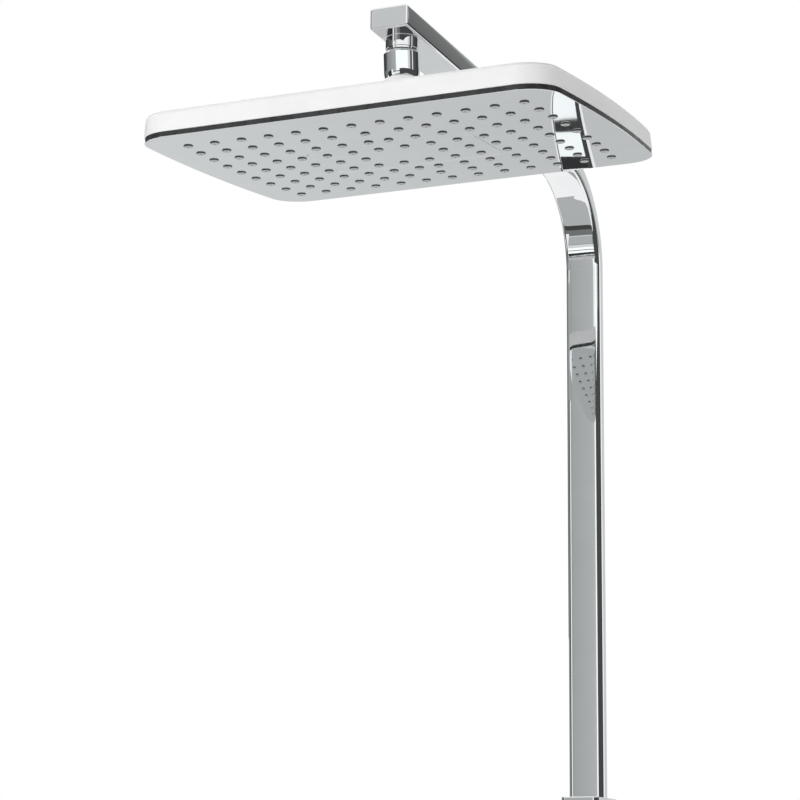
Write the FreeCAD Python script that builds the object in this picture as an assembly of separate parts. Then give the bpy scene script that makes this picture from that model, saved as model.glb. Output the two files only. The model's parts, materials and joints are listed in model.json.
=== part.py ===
"""Wall-fed shower column with an overhead rain head on a ball joint.

Millimetres. The wall is the plane Y = 0, the room lies towards -Y and +Z is up.
The origin is the centre of the water inlet on the wall face.
"""
import FreeCAD
import Part
import math
import os

# Flat tube: riser, bend and arm
TUBE_WIDTH = 30.0
TUBE_DEPTH = 17.0
TUBE_WALL = 1.5
TUBE_CORNER = 2.0
BEND_RADIUS = 79.75
COLUMN_STANDOFF = 26.75
ARM_HEIGHT = 598.75
ARM_REACH = 440.75
CAP_THICKNESS = 1.5
CAP_PLUG_LENGTH = 8.0
CAP_EDGE = 0.9

# Ball joint: all spheres share the ball's centre
OUTLET_SETBACK = 25.3
BALL_RADIUS = 7.5
NECK_RADIUS = 4.0
STUD_BORE_RADIUS = 2.6
COLLAR_RADIUS = 12.2
COLLAR_CHAMFER = 0.6
COLLAR_STEP = 0.6
COLLAR_STEP_HEIGHT = 1.6
COLLAR_FLOOR = 1.05
NUT_RADIUS = 13.2
NUT_TAPER = 1.0
NUT_TAPER_HEIGHT = 5.7
NUT_DROP = 8.0
DOME_RADIUS = 17.2
LINER_THICKNESS = 1.2
TURNING_GAP = 0.3
COLLAR_GAP = 0.35
TILT_LIMIT = 10.0
REST_TILT = 5.6
UPPER_LINER_ANGLES = (34.0, 70.0)
LOWER_SEAL_ANGLES = (104.0, 142.0)

# Outlet under the arm
SPIGOT_RADIUS = 8.2
SPIGOT_BORE_RADIUS = 5.5
SPIGOT_FLANGE_RADIUS = 11.0
SPIGOT_FLANGE_HEIGHT = 2.0
SPIGOT_LENGTH = 3.0
WASHER_THICKNESS = 1.0
STRAINER_THICKNESS = 0.8
STRAINER_HOLE_RADIUS = 0.8
STRAINER_HOLE_COUNT = 6

# Head
HEAD_WIDTH = 323.0
HEAD_DEPTH = 252.5
HEAD_BOW = 6.0
HEAD_CORNER = 26.0
FACE_DROP = 61.5
FACE_THICKNESS = 1.0
FACE_SAG = 2.6
BAND_HEIGHT = 2.8
BAND_INSET = 0.5
SIDE_HEIGHT = 14.0
SIDE_DRAFT = 1.0
SHELL_WALL = 2.5
UPSTAND_THICKNESS = 1.2
DOME_HEIGHT = 16.0
DOME_RISE_SHARES = (0.0, 0.1, 0.22, 0.7, 1.0)
DOME_SIZE_SHARES = (1.0, 0.99, 0.96, 0.68, 0.38)
FLARE_RADIUS = 44.0
FLARE_MIDDLE_SHARES = (0.3, 0.36)
LEDGE_LEVEL = 10.0
LEDGE_WIDTH = 12.0
MAT_THICKNESS = 2.0
GASKET_THICKNESS = 1.0

# Nozzles: rows counted from the middle row outwards
ROW_EDGE_MARGIN = 31.4
NOZZLE_EDGE_MARGIN = 28.0
NOZZLE_SPAN_BOW = 5.0
ROW_FIRST_SHARES = (1.5, 0.5, 0.38, 1.25, 1.05)
ROW_SIDE_COUNTS = (6, 7, 7, 6, 6)
ROW_HAS_MIDDLE = (False, False, False, True, True)
NOZZLE_RADIUS = 3.0
NOZZLE_STAND_OUT = 1.5
NOZZLE_GAP = 0.15
NOZZLE_OUTLET_RADIUS = 0.6
FEED_SLOT_WIDTH = 7.0

# Inset middle of the face
PANEL_COLUMN_SHARE = 6.4
PANEL_ROW_SHARE = 3.0
PANEL_CORNER = 9.0
PANEL_GROOVE = 0.4

# Screws through the backing plate
BACKING_SCREW_RADIUS = 1.5
BACKING_HEAD_RADIUS = 2.7
BACKING_HEAD_HEIGHT = 2.0
BACKING_SCREW_INSET = 8.0
BACKING_SCREW_BITE = 5.0
LONG_SIDE_SCREW_SHARES = (-0.75, -0.25, 0.25, 0.75)
SHORT_SIDE_SCREW_SHARES = (-0.4, 0.4)

# Hub in the head
HUB_RADIUS = 11.0
HUB_TOP_DROP = 1.5
HUB_BORE_RADIUS = 4.5
HUB_FLANGE_RADIUS = 18.0
HUB_FLANGE_HEIGHT = 4.0
REGULATOR_RADIUS = 6.4
REGULATOR_HEIGHT = 5.0
REGULATOR_HOLE_RADIUS = 0.9
REGULATOR_HOLE_COUNT = 6
REGULATOR_RING_SECTION = 0.75

# Bracket on the wall
BRACKET_WIDTH = 33.0
BRACKET_DEPTH = 52.0
BRACKET_ABOVE = 57.0
BRACKET_BELOW = 36.0
BRACKET_CORNER = 4.0
BRACKET_EDGE = 1.0
SOCKET_DEPTH = 24.0
RISER_BORE_RADIUS = 6.0
INLET_RADIUS = 10.48
INLET_THREAD_LENGTH = 14.0
INLET_SEAT_RADIUS = 9.4
INLET_BORE_RADIUS = 8.0
PLATE_THICKNESS = 4.0
PLATE_WIDTH = 27.0
PLATE_EDGE = 3.0
PLATE_HOLE_RADIUS = 11.5
WALL_HOLE_RADIUS = 2.25
WALL_HOLE_HEAD_RADIUS = 4.2
WALL_HOLE_SPACING = 44.0
LOCK_SCREW_RADIUS = 1.5
LOCK_SCREW_LENGTH = 7.0
GRUB_RADIUS = 2.5
GRUB_KEY_RADIUS = 1.25
GRUB_KEY_DEPTH = 3.0
GRUB_RECESS = 2.0

# Fittings in the bracket
TAIL_LENGTH = 12.0
TAIL_NOSE_LENGTH = 14.0
TAIL_BORE_RADIUS = 4.0
TAIL_RING_SECTION = 0.8
TAIL_RING_SHARES = (0.3, 0.7)
FILTER_FLANGE = 1.2
FILTER_RADIUS = 6.0
FILTER_WALL = 0.8
FILTER_LENGTH = 10.0
SEAL_THICKNESS = 2.0
SEAL_BORE_RADIUS = 6.5
PLUG_LENGTH = 14.0
PLUG_KEY_RADIUS = 3.0
PLUG_KEY_DEPTH = 6.0
DRAIN_BORE_RADIUS = 4.5

# General clearances
FIT_GAP = 0.1
RING_GAP = 0.05
OVERRUN = 2.0

V = FreeCAD.Vector
X_AXIS = V(1, 0, 0)
Y_AXIS = V(0, 1, 0)
Z_AXIS = V(0, 0, 1)
ORIGIN = V(0, 0, 0)

COLUMN_Y = -COLUMN_STANDOFF
HEAD_REACH = ARM_REACH - OUTLET_SETBACK
ARM_BOTTOM = ARM_HEIGHT - TUBE_DEPTH / 2
COLLAR_SEAT_RADIUS = DOME_RADIUS + COLLAR_GAP
BALL_DROP = COLLAR_SEAT_RADIUS + COLLAR_FLOOR + STRAINER_THICKNESS + WASHER_THICKNESS + SPIGOT_LENGTH
BALL_CENTRE = V(0, COLUMN_Y - HEAD_REACH, ARM_BOTTOM - BALL_DROP)
SOCKET_FLOOR = BRACKET_ABOVE - SOCKET_DEPTH
SEAT_RADIUS = BALL_RADIUS + TURNING_GAP
SOCKET_RADIUS = SEAT_RADIUS + LINER_THICKNESS + TURNING_GAP
FULL_TILT = math.degrees(math.acos(math.cos(math.radians(TILT_LIMIT)) ** 2))
FACE_Z = -FACE_DROP
SHELL_BOTTOM = FACE_Z + BAND_HEIGHT
RIM_TOP = SHELL_BOTTOM + SIDE_HEIGHT
DOME_TOP = RIM_TOP + DOME_HEIGHT
LEDGE_Z = FACE_Z + LEDGE_LEVEL
MAT_TOP = FACE_Z + FACE_THICKNESS + MAT_THICKNESS
BACKING_TOP = LEDGE_Z - GASKET_THICKNESS
INNER_INSET = SHELL_WALL + TURNING_GAP + UPSTAND_THICKNESS + TURNING_GAP
HUB_SEAT = DOME_TOP - SHELL_WALL
LAST_ROW = len(ROW_SIDE_COUNTS) - 1
ROW_PITCH = (HEAD_DEPTH / 2 - ROW_EDGE_MARGIN) / LAST_ROW
NOZZLE_SPAN = HEAD_WIDTH / 2 - NOZZLE_EDGE_MARGIN
NOZZLE_PITCH = NOZZLE_SPAN / (ROW_SIDE_COUNTS[0] + ROW_FIRST_SHARES[0] - 1)
PANEL_WIDTH = PANEL_COLUMN_SHARE * NOZZLE_PITCH
PANEL_DEPTH = PANEL_ROW_SHARE * ROW_PITCH


def cylinder(radius, start, end):
    """Round bar between two points."""
    along = end - start
    return Part.makeCylinder(radius, along.Length, start, along)


def tube(outer, inner, start, end):
    """Round bar with a through bore."""
    along = (end - start).normalize() * OVERRUN
    return cylinder(outer, start, end).cut(cylinder(inner, start - along, end + along))


def turned(points):
    """Solid of revolution about Z from (radius, height) corners."""
    corners = [V(r, 0, z) for r, z in points]
    profile = Part.Face(Part.makePolygon(corners + corners[:1]))
    return profile.revolve(ORIGIN, Z_AXIS, 360)


def polar(radius, angle):
    """Point in the XZ plane at an angle down from +Z."""
    a = math.radians(angle)
    return V(radius * math.sin(a), 0, radius * math.cos(a))


def sphere_arc(radius, first, last):
    """Arc about the ball's centre between two angles from +Z."""
    return Part.Arc(polar(radius, first), polar(radius, (first + last) / 2), polar(radius, last)).toShape()


def line(a, b):
    return Part.makeLine(a, b)


def revolve_edges(edges):
    return Part.Face(Part.Wire(edges)).revolve(ORIGIN, Z_AXIS, 360)


def ball(radius):
    return Part.makeSphere(radius)


def upright_edges(solid):
    """Straight edges that run up the solid."""
    return [e for e in solid.Edges if e.Curve.TypeId == "Part::GeomLine" and abs(e.Curve.Direction.z) > 0.5]


def block(width, depth, bottom, top, radius, y=0):
    """Upright block with rounded vertical corners, centred on X and on the given Y."""
    box = Part.makeBox(width, depth, top - bottom, V(-width / 2, y - depth / 2, bottom))
    return box.makeFillet(radius, upright_edges(box))


def bowed_block(inset, bottom, top, share=1.0):
    """Upright block of the head's plan: straight long edges, bowed short sides, round corners."""
    half_width = HEAD_WIDTH * share / 2 - inset
    half_depth = HEAD_DEPTH * share / 2 - inset
    bow = HEAD_BOW * share
    corner = HEAD_CORNER * share - inset
    corners = [V(sx * (half_width - bow), sy * half_depth, bottom)
               for sx, sy in ((-1, -1), (1, -1), (1, 1), (-1, 1))]
    right = Part.Arc(corners[1], V(half_width, 0, bottom), corners[2]).toShape()
    left = Part.Arc(corners[3], V(-half_width, 0, bottom), corners[0]).toShape()
    outline = Part.Wire([line(corners[0], corners[1]), right, line(corners[2], corners[3]), left])
    prism = Part.Face(outline).extrude(V(0, 0, top - bottom))
    return prism.makeFillet(corner, upright_edges(prism))


def bowed_wire(inset, height, share):
    """Outline of the head's plan at one height."""
    prism = bowed_block(inset, height, height + OVERRUN, share)
    lowest = min(prism.Faces, key=lambda face: face.CenterOfMass.z)
    return lowest.OuterWire


def bowed_ring(outer_inset, inner_inset, bottom, top):
    inner = bowed_block(inner_inset, bottom - OVERRUN, top + OVERRUN)
    return bowed_block(outer_inset, bottom, top).cut(inner)


def dome(inset, drop):
    """Shallow back of the head, from the rim up to the flat round the hub."""
    wires = [bowed_wire(inset, RIM_TOP - drop + DOME_HEIGHT * rise, size)
             for rise, size in zip(DOME_RISE_SHARES, DOME_SIZE_SHARES)]
    return Part.makeLoft(wires, True, True)


def face_slab(bottom_offset, thickness):
    """Slab whose two faces follow the face's shallow pillow form."""
    heights = [[0, 0, 0], [0, -4 * FACE_SAG, 0], [0, 0, 0]]
    patch = Part.BezierSurface()
    patch.increase(2, 2)
    for i in range(3):
        for j in range(3):
            pole = V((i - 1) * HEAD_WIDTH / 2, (j - 1) * HEAD_DEPTH / 2, FACE_Z + bottom_offset + heights[i][j])
            patch.setPole(i + 1, j + 1, pole)
    return patch.toShape().extrude(V(0, 0, thickness))


def nozzle_rows():
    """Row height and places across, for every row of nozzles."""
    rows = []
    for n in range(-LAST_ROW, LAST_ROW + 1):
        k = abs(n)
        first = ROW_FIRST_SHARES[k] * NOZZLE_PITCH
        span = NOZZLE_SPAN - NOZZLE_SPAN_BOW * (k / LAST_ROW) ** 2
        step = (span - first) / (ROW_SIDE_COUNTS[k] - 1)
        side = [first + step * i for i in range(ROW_SIDE_COUNTS[k])]
        middle = [0.0] if ROW_HAS_MIDDLE[k] else []
        rows.append((n * ROW_PITCH, [-x for x in side] + middle + side))
    return rows


def face_height(x, y):
    """Height of the face's underside."""
    return FACE_Z - FACE_SAG * (1 - (2 * x / HEAD_WIDTH) ** 2) * (1 - (2 * y / HEAD_DEPTH) ** 2)


def nozzle_places():
    return [(x, y) for y, places in nozzle_rows() for x in places]


def nozzle_bores(radius):
    """Bores of one radius on the axis of every nozzle."""
    return Part.makeCompound([
        cylinder(radius, V(x, y, face_height(x, y) - NOZZLE_STAND_OUT - OVERRUN), V(x, y, MAT_TOP + OVERRUN))
        for x, y in nozzle_places()])


def nozzle_holes():
    """Holes through the face for every nozzle."""
    return nozzle_bores(NOZZLE_RADIUS + NOZZLE_GAP)


def place_head(shape):
    """Put a shape that was built about the ball's centre where the head hangs at rest."""
    shape.rotate(ORIGIN, X_AXIS, REST_TILT)
    shape.translate(BALL_CENTRE)
    return shape


def place_ball(shape):
    """Put a shape that was built about the ball's centre under the arm."""
    shape.translate(BALL_CENTRE)
    return shape


def tube_section(width, depth, radius, bottom):
    """Flat cross-section of the tube on the column's axis."""
    prism = block(width, depth, bottom, bottom + OVERRUN, radius, COLUMN_Y)
    return min(prism.Faces, key=lambda face: face.CenterOfMass.z)


def tube_solid(width, depth, radius, bottom, arm_end):
    """Riser, bend and arm of one cross-section."""
    bend_start = ARM_HEIGHT - BEND_RADIUS
    bend_axis = V(0, COLUMN_Y - BEND_RADIUS, bend_start)
    riser = tube_section(width, depth, radius, bottom).extrude(V(0, 0, bend_start - bottom))
    top = tube_section(width, depth, radius, bend_start)
    bend = top.revolve(bend_axis, X_AXIS, 90)
    front = top.copy()
    front.rotate(bend_axis, X_AXIS, 90)
    arm = front.extrude(V(0, arm_end - bend_axis.y, 0))
    return riser.fuse([bend, arm]).removeSplitter()


def riser_tube():
    arm_end = COLUMN_Y - ARM_REACH + CAP_THICKNESS
    outer = tube_solid(TUBE_WIDTH, TUBE_DEPTH, TUBE_CORNER, SOCKET_FLOOR, arm_end)
    inner = tube_solid(TUBE_WIDTH - 2 * TUBE_WALL, TUBE_DEPTH - 2 * TUBE_WALL, TUBE_CORNER - TUBE_WALL,
                       SOCKET_FLOOR - OVERRUN, arm_end - OVERRUN)
    outlet = V(0, BALL_CENTRE.y, ARM_BOTTOM)
    hole = cylinder(SPIGOT_RADIUS + FIT_GAP, outlet - V(0, 0, OVERRUN), outlet + V(0, 0, TUBE_WALL + OVERRUN))
    return outer.cut(inner).cut(hole)


def arm_end_cap():
    front = COLUMN_Y - ARM_REACH
    face = block(TUBE_WIDTH, TUBE_DEPTH, 0, CAP_THICKNESS, TUBE_CORNER)
    face = face.makeFillet(CAP_EDGE, [e for e in face.Edges if e.BoundBox.ZMax < FIT_GAP])
    gap = TUBE_WALL + FIT_GAP
    plug = block(TUBE_WIDTH - 2 * gap, TUBE_DEPTH - 2 * gap, 0, CAP_PLUG_LENGTH, TUBE_CORNER - TUBE_WALL)
    cap = face.fuse(plug).removeSplitter()
    cap.rotate(ORIGIN, X_AXIS, -90)
    cap.translate(V(0, front, ARM_HEIGHT))
    return cap


def outlet_spigot():
    top = ARM_BOTTOM + TUBE_WALL + SPIGOT_FLANGE_HEIGHT
    seat = ARM_BOTTOM + TUBE_WALL
    end = ARM_BOTTOM - SPIGOT_LENGTH
    spigot = turned([
        (SPIGOT_BORE_RADIUS, end), (SPIGOT_RADIUS, end), (SPIGOT_RADIUS, seat),
        (SPIGOT_FLANGE_RADIUS, seat), (SPIGOT_FLANGE_RADIUS, top), (SPIGOT_BORE_RADIUS, top)])
    spigot.translate(V(0, BALL_CENTRE.y, 0))
    return spigot


def stud_seat():
    """Height of the spigot's end above the ball's centre."""
    return BALL_DROP - SPIGOT_LENGTH


def ball_stud():
    floor = COLLAR_SEAT_RADIUS + COLLAR_FLOOR
    foot_radius = COLLAR_RADIUS - COLLAR_STEP
    step = math.sqrt(COLLAR_SEAT_RADIUS ** 2 - foot_radius ** 2) + COLLAR_STEP_HEIGHT
    collar = turned([
        (0, BALL_RADIUS), (foot_radius, BALL_RADIUS), (foot_radius, step), (COLLAR_RADIUS, step),
        (COLLAR_RADIUS, BALL_DROP - COLLAR_CHAMFER), (COLLAR_RADIUS - COLLAR_CHAMFER, BALL_DROP), (0, BALL_DROP)])
    collar = collar.cut(ball(COLLAR_SEAT_RADIUS))
    neck = cylinder(NECK_RADIUS, ORIGIN, V(0, 0, floor))
    thread = cylinder(SPIGOT_RADIUS + FIT_GAP, V(0, 0, floor), V(0, 0, BALL_DROP + OVERRUN))
    bore = cylinder(STUD_BORE_RADIUS, V(0, 0, -BALL_RADIUS - OVERRUN), V(0, 0, BALL_DROP))
    return place_ball(ball(BALL_RADIUS).fuse([neck, collar]).cut(thread).cut(bore).removeSplitter())


def spigot_washer():
    top = V(0, 0, stud_seat())
    return place_ball(tube(SPIGOT_RADIUS, SPIGOT_BORE_RADIUS, top - V(0, 0, WASHER_THICKNESS), top))


def strainer():
    top = stud_seat() - WASHER_THICKNESS
    disc = cylinder(SPIGOT_RADIUS, V(0, 0, top - STRAINER_THICKNESS), V(0, 0, top))
    for i in range(STRAINER_HOLE_COUNT):
        hole = polar(STUD_BORE_RADIUS, 90)
        hole = FreeCAD.Rotation(Z_AXIS, 360 * i / STRAINER_HOLE_COUNT).multVec(hole)
        drill = cylinder(STRAINER_HOLE_RADIUS, hole, hole + V(0, 0, BALL_DROP))
        disc = disc.cut(drill)
    return place_ball(disc)


def liner(angles):
    """Spherical ring between ball and socket."""
    inner = SEAT_RADIUS
    outer = SEAT_RADIUS + LINER_THICKNESS
    first, last = angles
    return revolve_edges([
        sphere_arc(outer, first, last), line(polar(outer, last), polar(inner, last)),
        sphere_arc(inner, last, first), line(polar(inner, first), polar(outer, first))])


def upper_liner():
    return place_ball(liner(UPPER_LINER_ANGLES))


def lower_seal():
    return place_head(liner(LOWER_SEAL_ANGLES))


def opening_angle(radius):
    """Angle of the nut's opening at one radius, clear of the neck at full tilt."""
    return math.degrees(math.asin((NECK_RADIUS + TURNING_GAP) / radius)) + FULL_TILT


def nut_side():
    """Arc that draws the nut in at its foot."""
    radius = (NUT_TAPER_HEIGHT ** 2 + NUT_TAPER ** 2) / (2 * NUT_TAPER)
    half = math.asin(NUT_TAPER_HEIGHT / radius) / 2
    top = NUT_TAPER_HEIGHT - NUT_DROP
    middle = V(NUT_RADIUS - radius * (1 - math.cos(half)), 0, top - radius * math.sin(half))
    return Part.Arc(V(NUT_RADIUS - NUT_TAPER, 0, -NUT_DROP), middle, V(NUT_RADIUS, 0, top)).toShape()


def retaining_nut():
    shelf = TURNING_GAP - HUB_TOP_DROP
    shelf_angle = math.degrees(math.acos(shelf / SOCKET_RADIUS))
    shoulder_angle = math.degrees(math.asin(NUT_RADIUS / DOME_RADIUS))
    socket_edge = opening_angle(SOCKET_RADIUS)
    dome_edge = opening_angle(DOME_RADIUS)
    thread = HUB_RADIUS + RING_GAP
    points = [polar(SOCKET_RADIUS, shelf_angle), V(thread, 0, shelf), V(thread, 0, -NUT_DROP),
              V(NUT_RADIUS - NUT_TAPER, 0, -NUT_DROP)]
    edges = [line(a, b) for a, b in zip(points, points[1:])]
    edges.append(nut_side())
    edges.append(line(V(NUT_RADIUS, 0, NUT_TAPER_HEIGHT - NUT_DROP), polar(DOME_RADIUS, shoulder_angle)))
    edges.append(sphere_arc(DOME_RADIUS, shoulder_angle, dome_edge))
    edges.append(line(polar(DOME_RADIUS, dome_edge), polar(SOCKET_RADIUS, socket_edge)))
    edges.append(sphere_arc(SOCKET_RADIUS, socket_edge, shelf_angle))
    return place_head(revolve_edges(edges))


def hub_insert():
    gasket_bottom = HUB_SEAT - GASKET_THICKNESS
    bottom = gasket_bottom - HUB_FLANGE_HEIGHT
    body = turned([
        (0, -HUB_TOP_DROP), (HUB_RADIUS, -HUB_TOP_DROP), (HUB_RADIUS, gasket_bottom),
        (HUB_FLANGE_RADIUS, gasket_bottom), (HUB_FLANGE_RADIUS, bottom), (0, bottom)])
    bore = cylinder(HUB_BORE_RADIUS, V(0, 0, bottom - OVERRUN), ORIGIN)
    pocket = cylinder(REGULATOR_RADIUS + FIT_GAP, V(0, 0, bottom - OVERRUN), V(0, 0, regulator_top()))
    return place_head(body.cut(ball(SOCKET_RADIUS)).cut(bore).cut(pocket))


def regulator_top():
    return HUB_SEAT - GASKET_THICKNESS - HUB_FLANGE_HEIGHT + REGULATOR_HEIGHT


def regulator_ring(clearance):
    """Ring in the regulator's groove, or the groove itself."""
    major = REGULATOR_RADIUS - REGULATOR_RING_SECTION
    height = regulator_top() - REGULATOR_HEIGHT / 2
    return Part.makeTorus(major, REGULATOR_RING_SECTION + clearance, V(0, 0, height))


def flow_regulator():
    top = regulator_top()
    disc = cylinder(REGULATOR_RADIUS, V(0, 0, top - REGULATOR_HEIGHT), V(0, 0, top))
    for i in range(REGULATOR_HOLE_COUNT):
        place = FreeCAD.Rotation(Z_AXIS, 360 * i / REGULATOR_HOLE_COUNT).multVec(polar(HUB_BORE_RADIUS / 2, 90))
        drill = cylinder(REGULATOR_HOLE_RADIUS, place + V(0, 0, top + OVERRUN),
                         place + V(0, 0, top - REGULATOR_HEIGHT - OVERRUN))
        disc = disc.cut(drill)
    return place_head(disc.cut(regulator_ring(RING_GAP)))


def regulator_o_ring():
    return place_head(regulator_ring(0))


def hub_gasket():
    top = V(0, 0, HUB_SEAT)
    return place_head(tube(HUB_FLANGE_RADIUS, HUB_RADIUS + FIT_GAP, top - V(0, 0, GASKET_THICKNESS), top))


def backing_screw_places():
    """Places of the backing plate's screws, over the ledge."""
    half_width = HEAD_WIDTH / 2 - BACKING_SCREW_INSET
    half_depth = HEAD_DEPTH / 2 - BACKING_SCREW_INSET
    places = [(share * half_width, side * half_depth) for side in (-1, 1) for share in LONG_SIDE_SCREW_SHARES]
    for share in SHORT_SIDE_SCREW_SHARES:
        bowed = half_width - HEAD_BOW * share ** 2
        places += [(side * bowed, share * half_depth) for side in (-1, 1)]
    return places


def backing_screw_bodies(clearance, key):
    """Screws that hold the backing plate, or the holes for them."""
    screws = []
    tip = LEDGE_Z + BACKING_SCREW_BITE
    for x, y in backing_screw_places():
        head = cylinder(BACKING_HEAD_RADIUS + clearance, V(x, y, MAT_TOP),
                        V(x, y, MAT_TOP + BACKING_HEAD_HEIGHT + clearance))
        shank = cylinder(BACKING_SCREW_RADIUS + clearance, V(x, y, MAT_TOP), V(x, y, tip + clearance))
        screw = head.fuse(shank).removeSplitter()
        screws.append(screw.cut(cylinder(key, V(x, y, MAT_TOP), V(x, y, MAT_TOP + key))) if key else screw)
    return Part.makeCompound(screws)


def head_shell():
    side = Part.makeLoft([bowed_wire(0, SHELL_BOTTOM, 1), bowed_wire(SIDE_DRAFT, RIM_TOP, 1)], True, True)
    wall = side.fuse(dome(SIDE_DRAFT, 0))
    flare_top = -NUT_DROP
    across, up = FLARE_MIDDLE_SHARES
    top = V(NUT_RADIUS, 0, flare_top)
    base = V(FLARE_RADIUS, 0, DOME_TOP)
    middle = V(NUT_RADIUS + across * (FLARE_RADIUS - NUT_RADIUS), 0, DOME_TOP + up * (flare_top - DOME_TOP))
    foot = DOME_TOP - SHELL_WALL / 2
    flare = revolve_edges([
        Part.Arc(top, middle, base).toShape(), line(base, V(FLARE_RADIUS, 0, foot)),
        line(V(FLARE_RADIUS, 0, foot), V(0, 0, foot)), line(V(0, 0, foot), V(0, 0, flare_top)),
        line(V(0, 0, flare_top), top)])
    solid = wall.fuse(flare)
    pocket = bowed_block(SHELL_WALL, SHELL_BOTTOM - OVERRUN, LEDGE_Z)
    chamber = bowed_block(LEDGE_WIDTH, LEDGE_Z - OVERRUN, RIM_TOP - SHELL_WALL)
    roof = dome(SIDE_DRAFT, SHELL_WALL).common(bowed_block(LEDGE_WIDTH, LEDGE_Z, DOME_TOP))
    chamber = chamber.fuse(roof)
    hole = cylinder(HUB_RADIUS + FIT_GAP, V(0, 0, HUB_SEAT - OVERRUN), ORIGIN)
    return place_head(solid.cut([pocket, chamber, hole, backing_screw_bodies(FIT_GAP, 0)]))


def edge_trim():
    return place_head(bowed_ring(BAND_INSET, SHELL_WALL, FACE_Z + FACE_THICKNESS, SHELL_BOTTOM))


def face_plate():
    sheet = face_slab(0, FACE_THICKNESS).common(bowed_block(0, FACE_Z - HEAD_CORNER, MAT_TOP))
    outer = SHELL_WALL + TURNING_GAP
    upstand = bowed_ring(outer, outer + UPSTAND_THICKNESS, FACE_Z + FACE_THICKNESS / 2, BACKING_TOP)
    window = block(PANEL_WIDTH, PANEL_DEPTH, FACE_Z - HEAD_CORNER, MAT_TOP, PANEL_CORNER)
    return place_head(sheet.fuse(upstand).cut([window, nozzle_holes()]))


def centre_panel():
    panel = block(PANEL_WIDTH - 2 * PANEL_GROOVE, PANEL_DEPTH - 2 * PANEL_GROOVE, FACE_Z - HEAD_CORNER, MAT_TOP,
                  PANEL_CORNER - PANEL_GROOVE)
    return place_head(face_slab(0, FACE_THICKNESS).common(panel).cut(nozzle_holes()))


def nozzle_mat():
    sheet = face_slab(FACE_THICKNESS, MAT_THICKNESS).common(
        bowed_block(INNER_INSET, FACE_Z - HEAD_CORNER, BACKING_TOP))
    nozzles = []
    for x, y in nozzle_places():
        face = V(x, y, face_height(x, y))
        root = face + V(0, 0, FACE_THICKNESS + MAT_THICKNESS / 2)
        nozzles.append(cylinder(NOZZLE_RADIUS, root, face - V(0, 0, NOZZLE_STAND_OUT)))
    return place_head(sheet.fuse(nozzles).cut(nozzle_bores(NOZZLE_OUTLET_RADIUS)))


def backing_plate():
    outline = bowed_block(INNER_INSET, FACE_Z - HEAD_CORNER, BACKING_TOP)
    plate = face_slab(FACE_THICKNESS + MAT_THICKNESS, LEDGE_LEVEL).common(outline)
    slots = []
    for y, places in nozzle_rows():
        width = max(places) - min(places) + 2 * FEED_SLOT_WIDTH
        slots.append(block(width, FEED_SLOT_WIDTH, FACE_Z - HEAD_CORNER, BACKING_TOP + OVERRUN,
                           FEED_SLOT_WIDTH / 2 - RING_GAP, y))
    return place_head(plate.cut(slots + [backing_screw_bodies(FIT_GAP, 0)]))


def perimeter_gasket():
    ring = bowed_ring(INNER_INSET, LEDGE_WIDTH, BACKING_TOP, LEDGE_Z)
    return place_head(ring.cut(backing_screw_bodies(FIT_GAP, 0)))


def backing_screws():
    return place_head(backing_screw_bodies(0, BACKING_SCREW_RADIUS / 2))


def bracket_body():
    middle_y = -BRACKET_DEPTH / 2
    body = Part.makeBox(BRACKET_WIDTH, BRACKET_DEPTH, BRACKET_ABOVE + BRACKET_BELOW,
                        V(-BRACKET_WIDTH / 2, -BRACKET_DEPTH, -BRACKET_BELOW))
    body = body.makeFillet(BRACKET_CORNER, [e for e in upright_edges(body) if e.CenterOfMass.y < middle_y])
    level = [e for e in body.Edges if e.BoundBox.ZLength < FIT_GAP and e.BoundBox.YMin < -FIT_GAP]
    body = body.makeFillet(BRACKET_EDGE, level)
    socket = block(TUBE_WIDTH + 2 * FIT_GAP, TUBE_DEPTH + 2 * FIT_GAP, SOCKET_FLOOR, BRACKET_ABOVE + OVERRUN,
                   TUBE_CORNER + FIT_GAP, COLUMN_Y)
    column = V(0, COLUMN_Y, 0)
    riser_bore = cylinder(RISER_BORE_RADIUS, column, column + V(0, 0, SOCKET_FLOOR + OVERRUN))
    drain = cylinder(DRAIN_BORE_RADIUS, column - V(0, 0, BRACKET_BELOW + OVERRUN), column)
    washer_top = PLUG_LENGTH + WASHER_THICKNESS - BRACKET_BELOW
    plug_bore = cylinder(RISER_BORE_RADIUS, column - V(0, 0, BRACKET_BELOW + OVERRUN), column + V(0, 0, washer_top))
    thread = cylinder(INLET_RADIUS, V(0, OVERRUN, 0), V(0, inlet_seat(), 0))
    seat = cylinder(INLET_SEAT_RADIUS, V(0, OVERRUN, 0), V(0, filter_seat(), 0))
    inlet = cylinder(INLET_BORE_RADIUS, V(0, OVERRUN, 0), column - V(0, RISER_BORE_RADIUS, 0))
    recess = Part.makeBox(PLATE_WIDTH + 2 * FIT_GAP, PLATE_THICKNESS + OVERRUN, plate_height() + 2 * FIT_GAP,
                          V(-PLATE_WIDTH / 2 - FIT_GAP, -PLATE_THICKNESS, PLATE_EDGE - BRACKET_BELOW - FIT_GAP))
    grub = cylinder(GRUB_RADIUS + RING_GAP, V(0, -BRACKET_DEPTH - OVERRUN, grub_height()),
                    V(0, COLUMN_Y, grub_height()))
    lock = cylinder(LOCK_SCREW_RADIUS + RING_GAP, lock_place() - V(0, 0, OVERRUN),
                    lock_place() + V(0, 0, PLATE_EDGE + OVERRUN))
    return body.cut([socket, riser_bore, drain, plug_bore, thread, seat, inlet, recess, grub, lock])


def plate_height():
    return BRACKET_BELOW + BRACKET_ABOVE - 2 * PLATE_EDGE


def grub_height():
    return BRACKET_ABOVE - SOCKET_DEPTH / 2


def lock_place():
    """Foot of the screw that locks the bracket on its wall plate."""
    return V(0, -PLATE_THICKNESS / 2, -BRACKET_BELOW)


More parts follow.
